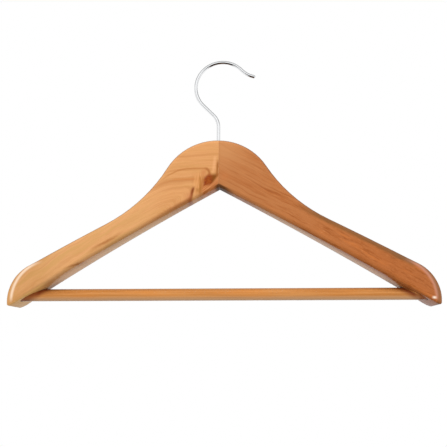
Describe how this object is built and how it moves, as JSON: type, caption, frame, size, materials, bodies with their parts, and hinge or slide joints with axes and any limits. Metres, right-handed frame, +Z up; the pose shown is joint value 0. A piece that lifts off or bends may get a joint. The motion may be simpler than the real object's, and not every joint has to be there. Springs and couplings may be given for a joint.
{
  "type": "clothes hanger",
  "caption": "Contoured wooden suit hanger with swept-back arms, a round trouser bar and a swivelling chrome wire hook.",
  "frame": {"origin": "the point where a rail bears on the hook, at the top of the inside of its loop", "axes": "+Z up along the hook's stem, +X along the trouser bar to the right as seen from the front, -Y towards the front, the side that the arms bow towards"},
  "size_m": [0.4526, 0.0598, 0.2567],
  "materials": {
    "light_wood": "satin lacquer",
    "red_wood": "satin lacquer",
    "bar_wood": "satin lacquer",
    "dowel_wood": "plain",
    "chrome_wire": "bright",
    "steel": "plain"
  },
  "bodies": {
    "hook": {"hook": "chrome_wire"},
    "frame": {"left_arm": "light_wood", "right_arm": "red_wood", "trouser_bar": "bar_wood", "hook_washer": "steel", "centre_dowel_upper": "dowel_wood", "centre_dowel_lower": "dowel_wood", "bar_pin_left": "steel", "bar_pin_right": "steel"}
  },
  "joints": [
    {"name": "hook_swivel", "type": "hinge", "parent": "hook", "child": "frame", "pos_m": [-0.0036, 0, -0.0862], "axis": [0, 0, 1], "continuous": true}
  ]
}
